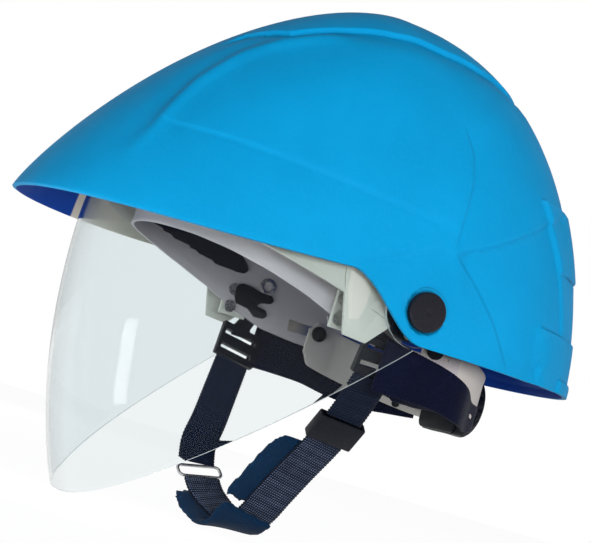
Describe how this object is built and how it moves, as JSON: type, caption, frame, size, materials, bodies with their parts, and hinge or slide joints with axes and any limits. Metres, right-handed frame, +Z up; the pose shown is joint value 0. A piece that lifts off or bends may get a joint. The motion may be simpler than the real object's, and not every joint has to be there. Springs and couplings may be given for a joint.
{
  "type": "arc flash helmet",
  "caption": "Work helmet with a long peak, a clear face visor that stows under the shell, a textile cradle, a ratchet headband and a chin strap with a pad.",
  "frame": {"origin": "centre of the head space: middle of the headband in plan, at the height of the shell's front rim", "axes": "+Z up through the crown, -Y ahead through the visor, +X to the wearer's left"},
  "size_m": [0.2284, 0.3255, 0.294],
  "materials": {
    "shell_blue": "satin moulded plastic",
    "clear_visor": "clear polished",
    "white_plastic": "satin moulded plastic",
    "steel": "brushed",
    "grey_plastic": "satin moulded plastic",
    "black_plastic": "satin moulded plastic",
    "navy_fabric": "woven"
  },
  "bodies": {
    "helmet": {"outer_shell": "shell_blue", "pivot_cap_l": "black_plastic", "pivot_cap_r": "black_plastic", "pivot_pin_l": "steel", "pivot_pin_r": "steel", "outer_washer_l": "black_plastic", "outer_washer_r": "black_plastic", "inner_washer_l": "black_plastic", "inner_washer_r": "black_plastic", "pivot_nut_l": "steel", "pivot_nut_r": "steel", "side_bracket_l": "white_plastic", "side_bracket_r": "white_plastic", "bracket_rivets": "steel", "headband": "grey_plastic", "sweatband": "navy_fabric", "strap_hook_l": "black_plastic", "strap_hook_r": "black_plastic", "hook_eyelet_l": "steel", "hook_eyelet_r": "steel", "cradle_strap_l": "navy_fabric", "cradle_strap_r": "navy_fabric", "cradle_strap_cross": "navy_fabric", "crown_pad": "navy_fabric", "cradle_clips": "black_plastic", "cradle_studs": "black_plastic"},
    "visor_unit": {"visor": "clear_visor", "visor_frame": "white_plastic", "frame_rivets": "steel"},
    "nape_unit": {"rear_arm_l": "grey_plastic", "rear_arm_r": "grey_plastic", "guide_stud_l": "black_plastic", "guide_stud_r": "black_plastic", "ratchet_housing": "black_plastic", "ratchet_cover": "black_plastic", "nape_pad": "navy_fabric", "nape_leg_l": "navy_fabric", "nape_leg_r": "navy_fabric", "leg_rivets": "steel"},
    "knob_unit": {"ratchet_knob": "black_plastic", "ratchet_pinion": "white_plastic"},
    "chin_unit": {"strap_lock_l": "black_plastic", "strap_lock_r": "black_plastic", "chin_webbing": "navy_fabric", "side_webbing": "navy_fabric", "strap_slider": "black_plastic", "chin_pad": "navy_fabric", "wire_loop": "steel"}
  },
  "joints": [
    {"name": "visor_hinge", "type": "hinge", "parent": "helmet", "child": "visor_unit", "pos_m": [0, 0.0205, -0.008], "axis": [-1, 0, 0], "range_deg": [0, 46]},
    {"name": "nape_slide", "type": "slide", "parent": "helmet", "child": "nape_unit", "axis": [0, 1, 0], "range_m": [-0.016, 0.006]},
    {"name": "knob_turn", "type": "hinge", "parent": "nape_unit", "child": "knob_unit", "pos_m": [0, 0.11, -0.04], "axis": [0, 1, 0], "range_deg": [-183.35, 68.75]},
    {"name": "chin_strap_swing", "type": "hinge", "parent": "helmet", "child": "chin_unit", "pos_m": [0, 0.009, -0.021], "axis": [1, 0, 0], "range_deg": [-12, 12]}
  ],
  "couplings": [
    {"joint": "knob_turn", "follows": "nape_slide", "rad_per_m": 200}
  ]
}
